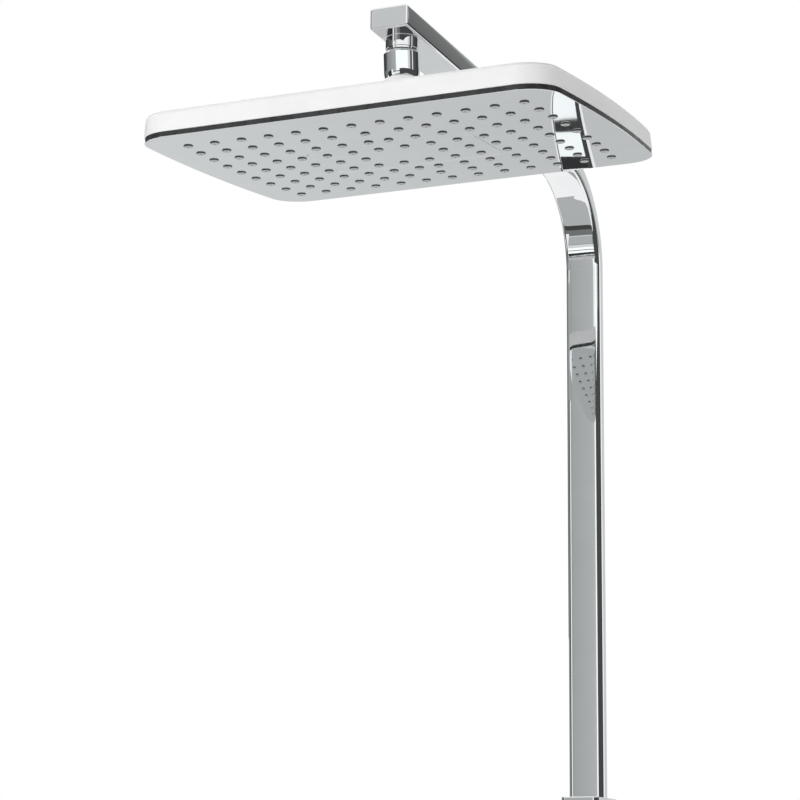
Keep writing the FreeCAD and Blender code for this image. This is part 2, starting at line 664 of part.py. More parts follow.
def wall_plate():
    plate = Part.makeBox(PLATE_WIDTH, PLATE_THICKNESS, plate_height(),
                         V(-PLATE_WIDTH / 2, -PLATE_THICKNESS, PLATE_EDGE - BRACKET_BELOW))
    cuts = [cylinder(PLATE_HOLE_RADIUS, V(0, -PLATE_THICKNESS - OVERRUN, 0), V(0, OVERRUN, 0))]
    for side in (-1, 1):
        front = V(0, -PLATE_THICKNESS, side * WALL_HOLE_SPACING / 2)
        back = front + V(0, PLATE_THICKNESS + OVERRUN, 0)
        cuts.append(cylinder(WALL_HOLE_RADIUS, front, back))
        depth = WALL_HOLE_HEAD_RADIUS - WALL_HOLE_RADIUS
        cuts.append(Part.makeCone(WALL_HOLE_HEAD_RADIUS, WALL_HOLE_RADIUS, depth, front, Y_AXIS))
    cuts.append(cylinder(LOCK_SCREW_RADIUS + RING_GAP, lock_place(),
                         lock_place() + V(0, 0, LOCK_SCREW_LENGTH + RING_GAP)))
    return plate.cut(cuts)


def plate_lock_screw():
    foot = lock_place() + V(0, 0, RING_GAP)
    return cylinder(LOCK_SCREW_RADIUS, foot, lock_place() + V(0, 0, LOCK_SCREW_LENGTH))


def hexagon(radius, start, along):
    """Six-sided socket for a key, cut from a start point."""
    turn = FreeCAD.Rotation(Z_AXIS, along)
    corners = [start + turn.multVec(V(radius * math.cos(i * math.pi / 3), radius * math.sin(i * math.pi / 3), 0))
               for i in range(7)]
    return Part.Face(Part.makePolygon(corners)).extrude(along)


def grub_screw():
    front = V(0, GRUB_RECESS - BRACKET_DEPTH, grub_height())
    back = V(0, COLUMN_Y - TUBE_DEPTH / 2 - RING_GAP, grub_height())
    screw = cylinder(GRUB_RADIUS, front, back)
    return screw.cut(hexagon(GRUB_KEY_RADIUS, front, V(0, GRUB_KEY_DEPTH, 0)))


def tail_rings(clearance):
    """Rings round the tail's nose, or their grooves."""
    major = RISER_BORE_RADIUS - RING_GAP - TAIL_RING_SECTION
    return [Part.makeTorus(major, TAIL_RING_SECTION + clearance,
                           V(0, COLUMN_Y, SOCKET_FLOOR - TAIL_NOSE_LENGTH * share)) for share in TAIL_RING_SHARES]


def tail_plug():
    gap = TUBE_WALL + FIT_GAP
    plug = block(TUBE_WIDTH - 2 * gap, TUBE_DEPTH - 2 * gap, SOCKET_FLOOR, SOCKET_FLOOR + TAIL_LENGTH,
                 TUBE_CORNER - TUBE_WALL, COLUMN_Y)
    column = V(0, COLUMN_Y, SOCKET_FLOOR)
    end = column - V(0, 0, TAIL_NOSE_LENGTH)
    nose = cylinder(RISER_BORE_RADIUS - FIT_GAP, end, column)
    bore = cylinder(TAIL_BORE_RADIUS, end - V(0, 0, OVERRUN), column + V(0, 0, TAIL_LENGTH + OVERRUN))
    return plug.fuse(nose).cut([bore] + tail_rings(RING_GAP))


def tail_o_rings():
    return Part.makeCompound(tail_rings(0))


def inlet_seat():
    """Where the inlet's thread ends."""
    return -PLATE_THICKNESS - INLET_THREAD_LENGTH


def filter_seat():
    """Where the filter's flange rests, past the thread."""
    return inlet_seat() - SEAL_THICKNESS - FILTER_FLANGE


def inlet_filter():
    seat = filter_seat()
    flange = cylinder(INLET_SEAT_RADIUS - FIT_GAP, V(0, seat, 0), V(0, seat + FILTER_FLANGE, 0))
    cup = cylinder(FILTER_RADIUS, V(0, seat - FILTER_LENGTH, 0), V(0, seat, 0))
    hollow = cylinder(FILTER_RADIUS - FILTER_WALL, V(0, seat - FILTER_LENGTH + FILTER_WALL, 0),
                      V(0, seat + FILTER_FLANGE + OVERRUN, 0))
    return flange.fuse(cup).cut(hollow).removeSplitter()


def inlet_seal():
    return tube(INLET_SEAT_RADIUS - FIT_GAP, SEAL_BORE_RADIUS, V(0, filter_seat() + FILTER_FLANGE, 0),
                V(0, inlet_seat(), 0))


def bottom_plug():
    foot = V(0, COLUMN_Y, -BRACKET_BELOW)
    plug = cylinder(RISER_BORE_RADIUS - RING_GAP, foot, foot + V(0, 0, PLUG_LENGTH))
    return plug.cut(hexagon(PLUG_KEY_RADIUS, foot, V(0, 0, PLUG_KEY_DEPTH)))


def plug_washer():
    start = V(0, COLUMN_Y, PLUG_LENGTH - BRACKET_BELOW)
    return tube(RISER_BORE_RADIUS - RING_GAP, DRAIN_BORE_RADIUS, start, start + V(0, 0, WASHER_THICKNESS))


PIECES = (
    riser_tube, arm_end_cap, outlet_spigot, spigot_washer, strainer, ball_stud,
    upper_liner, lower_seal, retaining_nut, hub_insert, hub_gasket, flow_regulator, regulator_o_ring,
    head_shell, edge_trim, face_plate, centre_panel, nozzle_mat, backing_plate, perimeter_gasket, backing_screws,
    bracket_body, wall_plate, plate_lock_screw, grub_screw, tail_plug, tail_o_rings,
    inlet_filter, inlet_seal, bottom_plug, plug_washer,
)


def main():
    os.makedirs("parts", exist_ok=True)
    for piece in PIECES:
        shape = piece()
        solids = len(shape.Solids)
        print(piece.__name__, "solids", solids, "valid", shape.isValid(), "volume", round(shape.Volume))
        shape.exportStep("parts/" + piece.__name__ + ".step")


main()
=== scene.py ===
import json
import math

import bmesh
import bpy
from mathutils import Matrix, Vector, geometry


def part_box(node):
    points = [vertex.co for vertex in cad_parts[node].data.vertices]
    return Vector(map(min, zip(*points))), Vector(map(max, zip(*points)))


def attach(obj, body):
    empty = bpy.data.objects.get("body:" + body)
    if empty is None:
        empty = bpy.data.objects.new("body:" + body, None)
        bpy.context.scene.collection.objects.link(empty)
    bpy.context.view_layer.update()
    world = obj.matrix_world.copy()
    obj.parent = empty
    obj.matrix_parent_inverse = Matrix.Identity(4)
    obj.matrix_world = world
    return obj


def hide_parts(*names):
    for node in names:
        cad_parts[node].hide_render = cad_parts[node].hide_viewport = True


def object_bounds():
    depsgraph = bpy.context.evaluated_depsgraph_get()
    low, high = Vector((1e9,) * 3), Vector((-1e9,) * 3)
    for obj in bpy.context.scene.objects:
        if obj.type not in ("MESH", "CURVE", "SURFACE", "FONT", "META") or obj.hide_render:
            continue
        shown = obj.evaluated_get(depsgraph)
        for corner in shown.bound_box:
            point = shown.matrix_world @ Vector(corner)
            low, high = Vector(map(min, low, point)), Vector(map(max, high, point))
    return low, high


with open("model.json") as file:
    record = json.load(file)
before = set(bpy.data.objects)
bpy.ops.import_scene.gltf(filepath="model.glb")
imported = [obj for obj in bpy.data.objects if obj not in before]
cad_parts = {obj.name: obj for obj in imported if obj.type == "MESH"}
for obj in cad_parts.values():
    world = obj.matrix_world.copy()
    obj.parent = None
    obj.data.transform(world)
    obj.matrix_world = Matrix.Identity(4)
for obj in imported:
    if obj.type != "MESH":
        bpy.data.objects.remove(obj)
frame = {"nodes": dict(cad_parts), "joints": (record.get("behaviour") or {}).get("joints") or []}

# Looks of a wall-fed shower column with an overhead rain head. Metres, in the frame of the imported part.

CAD_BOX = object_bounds()
MM = 0.001

# Tube
TUBE_CORNER = 2.0 * MM
RISER_CORNER = 3.6 * MM
TUBE_WALL = 1.5 * MM
TUBE_CROWN = 0.12 * MM
BEND_RADIUS = 79.75 * MM
CAP_EDGE = 1.5 * MM
CAP_THICKNESS = 1.6 * MM
CAP_LEAST_CORNER = 0.4 * MM
CAP_PLUG_GAP = 0.1 * MM
CAP_SIDE_STEPS = 4
RISER_STEPS = 12
BEND_STEPS = 72
ARM_STEPS = 8

# Ball joint, about the ball's centre
BALL_RADIUS = 7.5 * MM
NECK_RADIUS = 4.0 * MM
STUD_BORE_RADIUS = 2.6 * MM
COLLAR_EDGE = 0.6 * MM
COLLAR_STEP = 0.6 * MM
COLLAR_STEP_HEIGHT = 1.6 * MM
COLLAR_GAP = 0.35 * MM
DOME_RADIUS = 17.2 * MM
DOME_OPENING = 28.6
NUT_RADIUS = 13.2 * MM
NUT_DROP = 8.0 * MM
NUT_TAPER = 1.0 * MM
NUT_TAPER_HEIGHT = 5.7 * MM
SOCKET_RADIUS = 9.3 * MM
SOCKET_OPENING = 41.7
HUB_RADIUS = 11.05 * MM
HUB_TOP_DROP = 1.2 * MM
COLLAR_STEPS = 12
BALL_STEPS = 24
SOCKET_STEPS = 12
NUT_SIDE_STEPS = 8
NUT_DOME_STEPS = 10

# Head, about the ball's centre
REST_TILT = math.radians(5.6)
HEAD_WIDTH = 323.0 * MM
HEAD_DEPTH = 252.5 * MM
HEAD_BOW = 6.0 * MM
HEAD_CORNER = 26.0 * MM
FACE_Z = -61.5 * MM
FACE_THICKNESS = 0.4 * MM
FACE_RIM = 0.4 * MM
FACE_SAG = 2.9 * MM
FACE_FULLNESS = 0.82
FACE_LEAST = 0.03
FACE_EDGE = 0.4 * MM
BAND_HEIGHT = 4.0 * MM
BAND_INSET = 0.5 * MM
SIDE_HEIGHT = 12.8 * MM
SIDE_DRAFT = 1.0 * MM
SIDE_EDGE = 0.5 * MM
SHELL_WALL = 2.5 * MM
DOME_HEIGHT = 16.0 * MM
DOME_RISE_SHARES = (0.0, 0.1, 0.22, 0.7, 1.0)
DOME_SIZE_SHARES = (1.0, 0.99, 0.96, 0.68, 0.38)
FLARE_RADIUS = 44.0 * MM
FLARE_MIDDLE_SHARES = (0.3, 0.36)
LEDGE_LEVEL = 10.0 * MM
LEDGE_WIDTH = 12.0 * MM
MAT_THICKNESS = 2.0 * MM
MAT_INSET = 4.3 * MM
MAT_RING_SHARES = (0.1, 0.4, 0.7, 1.0)
DOME_STEPS = 6
DOME_INNER_FIRST = 2
FLARE_STEPS = 16

# Nozzles
ROW_EDGE_MARGIN = 31.4 * MM
NOZZLE_EDGE_MARGIN = 28.0 * MM
NOZZLE_SPAN_BOW = 5.0 * MM
ROW_FIRST_SHARES = (1.5, 0.5, 0.38, 1.25, 1.05)
ROW_SIDE_COUNTS = (6, 7, 7, 6, 6)
ROW_HAS_MIDDLE = (False, False, False, True, True)
NOZZLE_RADIUS = 3.0 * MM
NOZZLE_SKIRT_RADIUS = 3.55 * MM
NOZZLE_TIP_RADIUS = 3.3 * MM
NOZZLE_STAND_OUT = 1.05 * MM
NOZZLE_OUTLET = 0.6 * MM
NOZZLE_EDGE = 0.4 * MM
NOZZLE_STEPS = 20
# Least downward facing of a nozzle face that is painted paler, as painted light on the tips
LIT_TIP_FACING = 0.5
HOLE_RADIUS = 3.15 * MM
HOLE_STEPS = 20
LIP_WIDTH = 0.5 * MM
LIP_DEPTH = 0.2 * MM
LIP_NORMAL_DROP = 0.4
LIP_KEPT_SHARE = 0.9
SHEET_SPACING = 9.0 * MM
SHEET_MARGIN = SHEET_SPACING / 4
SHEET_EDGE_STEPS = 4
PANEL_COLUMN_SHARE = 6.4
PANEL_ROW_SHARE = 3.0
PANEL_CORNER = 9.0 * MM
PANEL_GROOVE = 0.4 * MM

# Camera, from the photograph
CAMERA_PLACE = (0.6638, -1.9865, -0.0502)
CAMERA_YAW = 0.40538
CAMERA_PITCH = 0.21513
CAMERA_ROLL = 0.00975
CAMERA_LENS = 108.25
CAMERA_SENSOR = 36.0

LAST_ROW = len(ROW_SIDE_COUNTS) - 1
ROW_PITCH = (HEAD_DEPTH / 2 - ROW_EDGE_MARGIN) / LAST_ROW
NOZZLE_SPAN = HEAD_WIDTH / 2 - NOZZLE_EDGE_MARGIN
NOZZLE_PITCH = NOZZLE_SPAN / (ROW_SIDE_COUNTS[0] + ROW_FIRST_SHARES[0] - 1)
PANEL_WIDTH = PANEL_COLUMN_SHARE * NOZZLE_PITCH
PANEL_DEPTH = PANEL_ROW_SHARE * ROW_PITCH
SHELL_BOTTOM = FACE_Z + BAND_HEIGHT
RIM_TOP = SHELL_BOTTOM + SIDE_HEIGHT
DOME_TOP = RIM_TOP + DOME_HEIGHT
LEDGE_Z = FACE_Z + LEDGE_LEVEL
BALL = Vector(frame["joints"][0]["pos_m"])
HEAD_PLACE = Matrix.Translation(BALL) @ Matrix.Rotation(REST_TILT, 4, "X")
BALL_PLACE = Matrix.Translation(BALL)
TURNED_STEPS = 96
SHARP_ANGLE = math.radians(34)
WELD_DISTANCE = 0.001 * MM
MERGE_DISTANCE = 1e-7
TRIANGLES_INSIDE = 1
NORMAL_WEIGHT = 80


# Mesh helpers

def new_piece(name, verts, faces, slot, body, replaced, place=None, normals=None):
    """Make one closed piece that stands for a solid and rides on its body."""
    mesh = bpy.data.meshes.new(name)
    mesh.from_pydata([tuple(v) for v in verts], [], faces)
    shape = bmesh.new()
    shape.from_mesh(mesh)
    if normals is None:
        bmesh.ops.remove_doubles(shape, verts=shape.verts, dist=WELD_DISTANCE)
    bmesh.ops.recalc_face_normals(shape, faces=shape.faces)
    shape.to_mesh(mesh)
    shape.free()
    mesh.shade_smooth()
    if normals is None:
        mesh.set_sharp_from_angle(angle=SHARP_ANGLE)
    else:
        mesh.normals_split_custom_set_from_vertices([tuple(n) for n in normals])
    if place is not None:
        mesh.transform(place)
    mesh.materials.append(MATERIALS[slot])
    piece = bpy.data.objects.new(name, mesh)
    bpy.context.scene.collection.objects.link(piece)
    if normals is None:
        weighted = piece.modifiers.new("face_weighted", "WEIGHTED_NORMAL")
        weighted.keep_sharp = True
        weighted.weight = NORMAL_WEIGHT
    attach(piece, body)
    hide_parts(replaced)
    return piece


def join_rings(rings, loop=False, cap_first=False, cap_last=False):
    """Skin over rings that all have the same number of points."""
    count = len(rings[0])
    verts = [p for ring in rings for p in ring]
    faces = []
    last = len(rings) if loop else len(rings) - 1
    for r in range(last):
        a = r * count
        b = (r + 1) % len(rings) * count
        for i in range(count):
            j = (i + 1) % count
            faces.append((a + i, a + j, b + j, b + i))
    if cap_first:
        faces.append(tuple(range(count)))
    if cap_last:
        faces.append(tuple(range((len(rings) - 1) * count, len(rings) * count)))
    return verts, faces


def turned(profile, steps=TURNED_STEPS):
    """Solid of revolution about Z from a closed row of (radius, height) corners."""
    rings = []
    for r, z in profile:
        rings.append([Vector((r * math.cos(a), r * math.sin(a), z))
                      for a in (2 * math.pi * i / steps for i in range(steps))])
    return join_rings(rings, loop=True)


def arc(radius, first, last, steps):
    """Points of an arc about the ball's centre, in degrees down from +Z."""
    angles = [math.radians(first + (last - first) * i / steps) for i in range(steps + 1)]
    return [(radius * math.sin(a), radius * math.cos(a)) for a in angles]


def rounded_corner(x, z, dx, dz, radius, steps=4):
    """Points of a quarter round that leaves along (dx, 0) and ends along (0, dz) at a corner."""
    points = []
    for i in range(steps + 1):
        a = math.pi / 2 * i / steps
        points.append((x + dx * radius * (1 - math.sin(a)), z + dz * radius * (1 - math.cos(a))))
    return points


def rounded_rectangle(half_x, half_y, radius, corner_steps=6, side_steps=8, crown=0.0):
    """Closed outline with round corners and slightly crowned sides."""
    points = []
    for k in range(4):
        turn = math.pi / 2 * k
        along = half_y if k % 2 == 0 else half_x
        across = half_x if k % 2 == 0 else half_y
        c, s = math.cos(turn), math.sin(turn)
        local = []
        for i in range(side_steps):
            t = 2 * i / side_steps - 1
            local.append((across + crown * (1 - t * t), t * (along - radius)))
        for i in range(corner_steps):
            a = math.pi / 2 * i / corner_steps
            local.append((across - radius + radius * math.cos(a), along - radius + radius * math.sin(a)))
        points += [(c * x - s * y, s * x + c * y) for x, y in local]
    return points


def bowed_outline(inset, share=1.0, arc_steps=12, corner_steps=14, side_steps=14):
    """Head's plan: straight long edges, bowed short sides and round corners."""
    half_width = HEAD_WIDTH * share / 2 - inset
    half_depth = HEAD_DEPTH * share / 2 - inset
    bow = HEAD_BOW * share
    corner = HEAD_CORNER * share - inset
    bow_radius = (half_depth ** 2 + bow ** 2) / (2 * bow)
    bow_x = half_width - bow_radius
    corner_x = bow_x + math.sqrt((bow_radius - corner) ** 2 - (half_depth - corner) ** 2)
    corner_y = half_depth - corner
    meet = math.atan2(corner_y, corner_x - bow_x)
    quarter = []
    for i in range(arc_steps):
        a = meet * i / arc_steps
        quarter.append((bow_x + bow_radius * math.cos(a), bow_radius * math.sin(a)))
    for i in range(corner_steps):
        a = meet + (math.pi / 2 - meet) * i / corner_steps
        quarter.append((corner_x + corner * math.cos(a), corner_y + corner * math.sin(a)))
    for i in range(side_steps + 1):
        quarter.append((corner_x * (1 - i / side_steps), half_depth))
    left = [(-x, y) for x, y in reversed(quarter[:-1])]
    top = quarter + left
    return top + [(x, -y) for x, y in reversed(top[1:-1])]


def at_height(outline, z):
    """Ring of a flat outline at one height."""
    return [Vector((x, y, z)) for x, y in outline]


def round_ring(radius, z):
    """Circle whose points lie at the same bearings as the head's outline."""
    bearings = [math.atan2(y, x) for x, y in bowed_outline(0)]
    return [Vector((radius * math.cos(a), radius * math.sin(a), z)) for a in bearings]


def face_height(x, y):
    """Height of the face's underside, which is a shallow pillow."""
    share = (1 - (2 * x / HEAD_WIDTH) ** 2) * (1 - (2 * y / HEAD_DEPTH) ** 2)
    return FACE_Z - FACE_SAG * max(share, 0.0) ** FACE_FULLNESS


def face_normal(x, y):
    """Downward normal of the face's underside."""
    u, v = 2 * x / HEAD_WIDTH, 2 * y / HEAD_DEPTH
    share = max((1 - u * u) * (1 - v * v), FACE_LEAST)
    steep = FACE_SAG * FACE_FULLNESS * share ** (FACE_FULLNESS - 1)
    slope_x = steep * 2 * u * (1 - v * v) * 2 / HEAD_WIDTH
    slope_y = steep * 2 * v * (1 - u * u) * 2 / HEAD_DEPTH
    return Vector((slope_x, slope_y, -1)).normalized()


def nozzle_places():
    """Places of all nozzles, row by row."""
    places = []
    for n in range(-LAST_ROW, LAST_ROW + 1):
        k = abs(n)
        first = ROW_FIRST_SHARES[k] * NOZZLE_PITCH
        span = NOZZLE_SPAN - NOZZLE_SPAN_BOW * (k / LAST_ROW) ** 2
        step = (span - first) / (ROW_SIDE_COUNTS[k] - 1)
        side = [first + step * i for i in range(ROW_SIDE_COUNTS[k])]
        middle = [0.0] if ROW_HAS_MIDDLE[k] else []
        places += [(x, n * ROW_PITCH) for x in [-x for x in side] + middle + side]
    return places


# Materials

NOISE_LOW = 0.3
NOISE_HIGH = 0.7
NOISE_DETAIL = 3.0
BUMP_DEPTH = 0.02 * MM


def plain_material(name):
    """New material with its nodes, links and shader."""
    material = bpy.data.materials.new(name)
    material.use_nodes = True
    nodes = material.node_tree.nodes
    return material, nodes, material.node_tree.links, nodes["Principled BSDF"]


def noise(nodes, links, scale):
    """Noise in the object's own space."""
    coords = nodes.new("ShaderNodeTexCoord")
    texture = nodes.new("ShaderNodeTexNoise")
    texture.inputs["Scale"].default_value = scale
    texture.inputs["Detail"].default_value = NOISE_DETAIL
    links.new(coords.outputs["Object"], texture.inputs["Vector"])
    return texture.outputs["Fac"]


def spread(nodes, links, value, low, high):
    """Map noise onto a range."""
    ramp = nodes.new("ShaderNodeMapRange")
    ramp.inputs["From Min"].default_value = NOISE_LOW
    ramp.inputs["From Max"].default_value = NOISE_HIGH
    ramp.inputs["To Min"].default_value = low
    ramp.inputs["To Max"].default_value = high
    links.new(value, ramp.inputs["Value"])
    return ramp.outputs["Result"]


def tinted(nodes, links, value, dark, light):
    """Colour that drifts between two tones with the noise."""
    ramp = nodes.new("ShaderNodeValToRGB")
    ramp.color_ramp.elements[0].position = NOISE_LOW
    ramp.color_ramp.elements[1].position = NOISE_HIGH
    ramp.color_ramp.elements[0].color = (*dark, 1)
    ramp.color_ramp.elements[1].color = (*light, 1)
    links.new(value, ramp.inputs["Fac"])
    return ramp.outputs["Color"]


def surface(name, dark, light, rough, metallic, scale, bump_scale, bump):
    """Material with a drifting tone, a drifting roughness and a fine bump."""
    material, nodes, links, shader = plain_material(name)
    broad = noise(nodes, links, scale)
    fine = noise(nodes, links, bump_scale)
    links.new(tinted(nodes, links, broad, dark, light), shader.inputs["Base Color"])
    links.new(spread(nodes, links, broad, *rough), shader.inputs["Roughness"])
    shader.inputs["Metallic"].default_value = metallic
    relief = nodes.new("ShaderNodeBump")
    relief.inputs["Strength"].default_value = bump
    relief.inputs["Distance"].default_value = BUMP_DEPTH
    links.new(fine, relief.inputs["Height"])
    links.new(relief.outputs["Normal"], shader.inputs["Normal"])
    return material


# Name: dark tone, light tone, roughness range, metallic, noise scale, bump scale, bump strength
LOOKS = {
    "chrome": ((0.84, 0.85, 0.86), (0.87, 0.88, 0.885), (0.01, 0.022), 1.0, 45.0, 500.0, 0.01),
    "plated_plastic": ((0.84, 0.84, 0.845), (0.88, 0.88, 0.885), (0.28, 0.34), 0.0, 35.0, 400.0, 0.01),
    # Painted shade and dark reflection: the band between the shell and the face is painted near-black.
    "dark_trim": ((0.018, 0.019, 0.02), (0.035, 0.036, 0.038), (0.2, 0.4), 0.0, 120.0, 1500.0, 0.1),
    # The next two are one grey silicone in two tones: painted shade on the nozzles' walls and the mat,
    # painted light on the down-facing tips.
    "silicone": ((0.045, 0.048, 0.05), (0.07, 0.073, 0.075), (0.3, 0.45), 0.0, 200.0, 2500.0, 0.1),
    "silicone_tip_painted_light": ((0.5, 0.51, 0.51), (0.6, 0.61, 0.61), (0.25, 0.4), 0.0, 200.0, 2500.0, 0.1),
    "black_rubber": ((0.012, 0.012, 0.012), (0.03, 0.03, 0.03), (0.5, 0.75), 0.0, 200.0, 2500.0, 0.2),
    "brass": ((0.62, 0.44, 0.18), (0.75, 0.56, 0.27), (0.18, 0.34), 1.0, 150.0, 1200.0, 0.1),
    "white_plastic": ((0.72, 0.72, 0.7), (0.8, 0.8, 0.78), (0.35, 0.5), 0.0, 90.0, 1500.0, 0.1),
    "grey_plastic": ((0.2, 0.2, 0.21), (0.28, 0.28, 0.29), (0.35, 0.55), 0.0, 90.0, 1500.0, 0.1),
    "steel": ((0.5, 0.5, 0.5), (0.6, 0.6, 0.6), (0.22, 0.38), 1.0, 160.0, 1400.0, 0.1),
}
MATERIALS = {name: surface(name, *values) for name, values in LOOKS.items()}


# Tube and cap

def tube_rings(inset, width, depth, crown, bottom, front, side_y, arm_z):
    """Rings up the riser, round the bend and out along the arm, with corners that sharpen in the bend."""

    def section(share):
        corner = RISER_CORNER + (TUBE_CORNER - RISER_CORNER) * share
        return rounded_rectangle(width / 2 - inset, depth / 2 - inset, corner - inset, crown=crown)

    bend_start = arm_z - BEND_RADIUS
    axis_y = side_y - BEND_RADIUS
    rings = []
    for i in range(RISER_STEPS):
        z = bottom + (bend_start - bottom) * i / RISER_STEPS
        rings.append([Vector((x, side_y + y, z)) for x, y in section(0.0)])
    for i in range(BEND_STEPS + 1):
        share = i / BEND_STEPS
        c, s = math.cos(math.pi / 2 * share), math.sin(math.pi / 2 * share)
        rings.append([Vector((x, axis_y + (BEND_RADIUS + y) * c, bend_start + (BEND_RADIUS + y) * s))
                      for x, y in section(share)])
    for i in range(1, ARM_STEPS + 1):
        y_arm = axis_y + (front - axis_y) * i / ARM_STEPS
        rings.append([Vector((x, y_arm, arm_z + y)) for x, y in section(1.0)])
    return rings


def make_tube():
    """Riser, bend and arm as one hollow length."""
    low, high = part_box("riser_tube")
    cap_low, cap_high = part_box("arm_end_cap")
    width = high.x - low.x
    depth = cap_high.z - cap_low.z
    column_y = high.y - depth / 2
    arm_z = high.z - depth / 2
    outer = tube_rings(0.0, width, depth, TUBE_CROWN, low.z, low.y, column_y, arm_z)
    inner = tube_rings(TUBE_WALL, width, depth, 0.0, low.z, low.y, column_y, arm_z)
    verts, faces = join_rings(outer + inner[::-1], loop=True)
    new_piece("tube", verts, faces, "chrome", "column", "riser_tube")


def make_cap():
    """Arm's end cap with its plug."""
    low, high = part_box("arm_end_cap")
    half_x = (high.x - low.x) / 2
    half_z = (high.z - low.z) / 2
    mid_z = (high.z + low.z) / 2
    rings = []

    def ring(inset, y):
        corner = max(TUBE_CORNER - inset, CAP_LEAST_CORNER)
        outline = rounded_rectangle(half_x - inset, half_z - inset, corner, side_steps=CAP_SIDE_STEPS)
        return [Vector((x, y, mid_z + z)) for x, z in outline]

    for inset, y in rounded_corner(0.0, low.y, 1, 1, CAP_EDGE):
        rings.append(ring(inset, y))
    rings.append(ring(0.0, low.y + CAP_THICKNESS))
    rings.append(ring(TUBE_WALL + CAP_PLUG_GAP, low.y + CAP_THICKNESS))
    rings.append(ring(TUBE_WALL + CAP_PLUG_GAP, high.y))
    verts, faces = join_rings(rings, cap_first=True, cap_last=True)
    new_piece("arm_cap", verts, faces, "chrome", "column", "arm_end_cap")


# Ball joint

def make_stud():
    """Collar, neck and ball."""
    low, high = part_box("ball_stud")
    radius = (high.x - low.x) / 2
    top = high.z - BALL.z
    hollow = DOME_RADIUS + COLLAR_GAP
    foot = radius - COLLAR_STEP
    step = math.sqrt(hollow ** 2 - foot ** 2) + COLLAR_STEP_HEIGHT
    rim = math.degrees(math.asin(foot / hollow))
    neck = math.degrees(math.asin(NECK_RADIUS / hollow))
    ball_top = math.degrees(math.asin(NECK_RADIUS / BALL_RADIUS))
    ball_foot = math.degrees(math.asin(STUD_BORE_RADIUS / BALL_RADIUS))
    profile = [(STUD_BORE_RADIUS, top)]
    profile += [(radius - inset, z) for inset, z in rounded_corner(0.0, top, 1, -1, COLLAR_EDGE)]
    profile += [(radius, step), (foot, step)]
    profile += arc(hollow, rim, neck, COLLAR_STEPS)
    profile += arc(BALL_RADIUS, ball_top, 180 - ball_foot, BALL_STEPS)
    verts, faces = turned(profile)
    new_piece("stud", verts, faces, "chrome", "column", "ball_stud", BALL_PLACE)


def nut_side(steps):
    """Points of the arc that draws in the nut's foot, from the foot up."""
    radius = (NUT_TAPER_HEIGHT ** 2 + NUT_TAPER ** 2) / (2 * NUT_TAPER)
    points = []
    for i in range(steps + 1):
        below = NUT_TAPER_HEIGHT * (1 - i / steps)
        inset = radius - math.sqrt(radius ** 2 - below ** 2)
        points.append((NUT_RADIUS - inset, NUT_TAPER_HEIGHT - NUT_DROP - below))
    return points


def make_nut():
    """Domed nut round the ball."""
    shelf = -HUB_TOP_DROP
    shelf_angle = math.degrees(math.acos(shelf / SOCKET_RADIUS))
    shoulder = math.degrees(math.asin(NUT_RADIUS / DOME_RADIUS))
    profile = arc(SOCKET_RADIUS, SOCKET_OPENING, shelf_angle, SOCKET_STEPS)
    profile += [(HUB_RADIUS, shelf), (HUB_RADIUS, -NUT_DROP)]
    profile += nut_side(NUT_SIDE_STEPS)
    profile += arc(DOME_RADIUS, shoulder, DOME_OPENING, NUT_DOME_STEPS)
    verts, faces = turned(profile)
    new_piece("nut", verts, faces, "chrome", "head", "retaining_nut", HEAD_PLACE)


# Head

def smooth_shares(steps):
    """Rise and size of the back along a Catmull-Rom curve through its chosen shares."""
    rises, sizes = DOME_RISE_SHARES, DOME_SIZE_SHARES
    last = len(rises) - 1
    pairs = []
    for k in range(last):
        for i in range(steps):
            t = i / steps
            pick = [min(max(k + d, 0), last) for d in (-1, 0, 1, 2)]
            weights = (-0.5 * t + t * t - 0.5 * t ** 3, 1 - 2.5 * t * t + 1.5 * t ** 3,
                       0.5 * t + 2 * t * t - 1.5 * t ** 3, -0.5 * t * t + 0.5 * t ** 3)
            pairs.append((sum(w * rises[p] for w, p in zip(weights, pick)),
                          sum(w * sizes[p] for w, p in zip(weights, pick))))
    return pairs + [(rises[-1], sizes[-1])]


def flare_points(steps):
    """Points of the arc that flares from the nut down to the back."""
    across, up = FLARE_MIDDLE_SHARES
    top = -NUT_DROP
    a = Vector((NUT_RADIUS, top))
    b = Vector((NUT_RADIUS + across * (FLARE_RADIUS - NUT_RADIUS), DOME_TOP + up * (top - DOME_TOP)))
    c = Vector((FLARE_RADIUS, DOME_TOP))
    ab, bc = (a + b) / 2, (b + c) / 2
    d1, d2 = b - a, c - b
    det = d1.x * d2.y - d1.y * d2.x
    k1, k2 = d1.dot(ab), d2.dot(bc)
    centre = Vector(((k1 * d2.y - d1.y * k2) / det, (d1.x * k2 - k1 * d2.x) / det))
    radius = (a - centre).length
    first = math.atan2(c.y - centre.y, c.x - centre.x)
    last = math.atan2(a.y - centre.y, a.x - centre.x)
    turn = (last - first + math.pi) % (2 * math.pi) - math.pi
    return [(centre.x + radius * math.cos(first + turn * i / steps),
             centre.y + radius * math.sin(first + turn * i / steps)) for i in range(steps + 1)]


